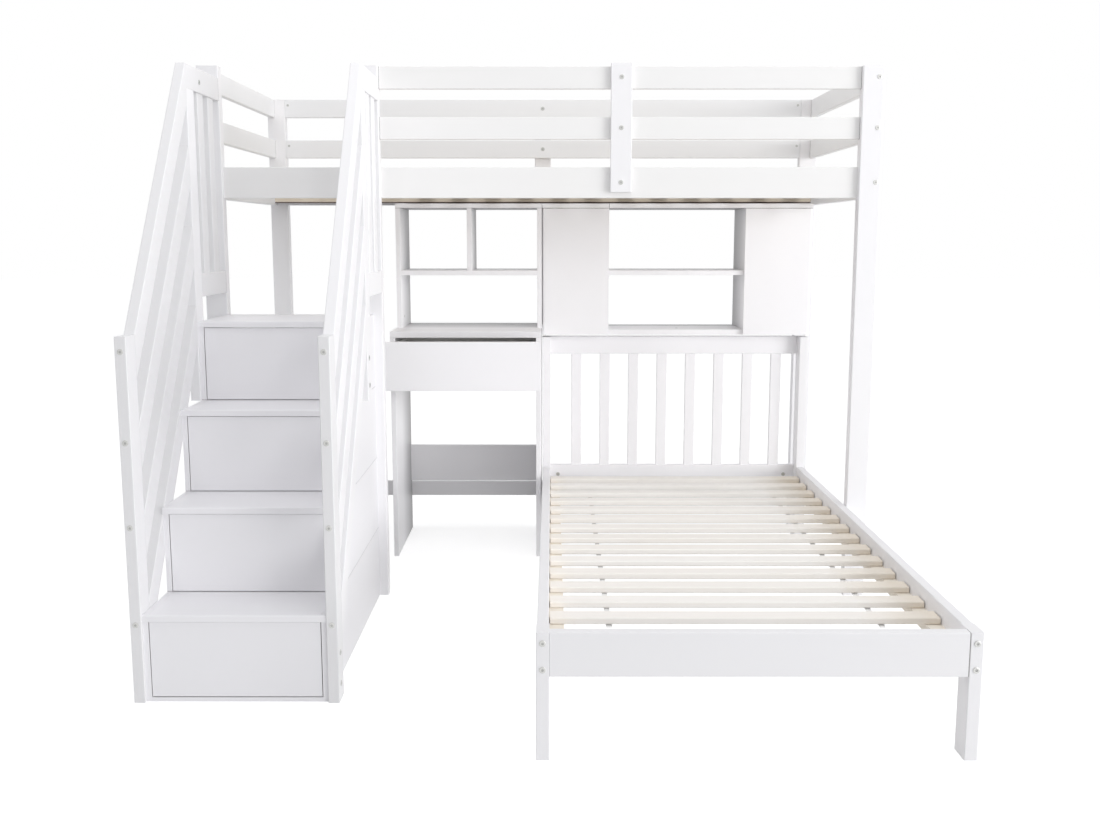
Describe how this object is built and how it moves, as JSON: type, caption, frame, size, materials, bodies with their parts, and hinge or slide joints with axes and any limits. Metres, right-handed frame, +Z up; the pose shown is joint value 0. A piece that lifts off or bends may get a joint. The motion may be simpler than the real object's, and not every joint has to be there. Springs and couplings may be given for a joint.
{
  "type": "bunk bed",
  "caption": "L-shaped white bunk bed: high bed with guard rails and a staircase of drawers, desk, shelves and cabinets below it, and a low slatted bed set square to it.",
  "frame": {"origin": "on the floor, under the middle of the whole object's box", "axes": "+X along the upper bed, stairs at -X; +Y from the lower bed's foot to the back guard; +Z up"},
  "size_m": [2.224, 2.25, 1.778],
  "materials": {
    "painted_wood": "satin white paint on pine boards",
    "painted_panel": "satin white painted panel",
    "drawer_lining": "matt white drawer board",
    "pine": "planed bare pine",
    "webbing": "woven strap",
    "steel": "zinc plated"
  },
  "bodies": {
    "frame": {"back_guard_rails": "painted_wood", "back_guard_upright": "painted_wood", "back_posts": "painted_wood", "back_stretcher": "painted_wood", "cabinet_bottom": "painted_panel", "cabinet_shelf": "painted_panel", "cabinet_walls": "painted_panel", "desk_drawer_runners": "pine", "desk_modesty_panel": "painted_panel", "desk_sides": "painted_panel", "desk_top": "painted_panel", "door_pivots": "steel", "end_guard_rails": "painted_wood", "foot_legs": "painted_wood", "foot_rail": "painted_wood", "front_guard_plate": "painted_wood", "front_guard_rails": "painted_wood", "front_posts": "painted_wood", "headboard_posts": "painted_wood", "headboard_rails": "painted_wood", "headboard_slats": "painted_wood", "hutch_divider": "painted_panel", "hutch_shelf": "painted_panel", "hutch_sides": "painted_panel", "left_landing_guard": "painted_wood", "left_slanted_boards": "painted_wood", "lower_side_rails": "painted_wood", "lower_slat_ledgers": "pine", "lower_slat_straps": "webbing", "lower_slats": "pine", "right_landing_guard": "painted_wood", "right_slanted_boards": "painted_wood", "stair_base_board": "painted_panel", "stair_left_side": "painted_panel", "stair_newels": "painted_wood", "stair_post": "painted_wood", "stair_right_side": "painted_panel", "stair_stiles": "painted_wood", "stair_tread_1": "painted_panel", "stair_tread_2": "painted_panel", "stair_tread_3": "painted_panel", "stair_tread_4": "painted_panel", "unit_tops": "painted_panel", "upper_back_rail": "painted_wood", "upper_end_rails": "painted_wood", "upper_front_rail": "painted_wood", "upper_slat_ledgers": "pine", "upper_slats": "pine"},
    "stair_drawer_1": {"stair_drawer_front_1": "painted_panel", "stair_drawer_box_1": "drawer_lining"},
    "stair_drawer_2": {"stair_drawer_front_2": "painted_panel", "stair_drawer_box_2": "drawer_lining"},
    "stair_drawer_3": {"stair_drawer_front_3": "painted_panel", "stair_drawer_box_3": "drawer_lining"},
    "stair_drawer_4": {"stair_drawer_front_4": "painted_panel", "stair_drawer_box_4": "drawer_lining"},
    "desk_drawer": {"desk_drawer_front": "painted_panel", "desk_drawer_box": "drawer_lining"},
    "left_door": {"left_cabinet_door": "painted_panel"},
    "right_door": {"right_cabinet_door": "painted_panel"}
  },
  "joints": [
    {"name": "stair_drawer_1_slide", "type": "slide", "parent": "frame", "child": "stair_drawer_1", "axis": [0, -1, 0], "range_m": [0, 0.3]},
    {"name": "stair_drawer_2_slide", "type": "slide", "parent": "frame", "child": "stair_drawer_2", "axis": [0, -1, 0], "range_m": [0, 0.3]},
    {"name": "stair_drawer_3_slide", "type": "slide", "parent": "frame", "child": "stair_drawer_3", "axis": [0, -1, 0], "range_m": [0, 0.3]},
    {"name": "stair_drawer_4_slide", "type": "slide", "parent": "frame", "child": "stair_drawer_4", "axis": [0, -1, 0], "range_m": [0, 0.18]},
    {"name": "desk_drawer_slide", "type": "slide", "parent": "frame", "child": "desk_drawer", "axis": [0, -1, 0], "range_m": [-0.115, 0.15]},
    {"name": "left_door_hinge", "type": "hinge", "parent": "frame", "child": "left_door", "pos_m": [0.0085, 0.8085, 0.844], "axis": [0, 0, -1], "range_deg": [0, 90]},
    {"name": "right_door_hinge", "type": "hinge", "parent": "frame", "child": "right_door", "pos_m": [1.0335, 0.8085, 0.844], "axis": [0, 0, 1], "range_deg": [0, 100]}
  ]
}
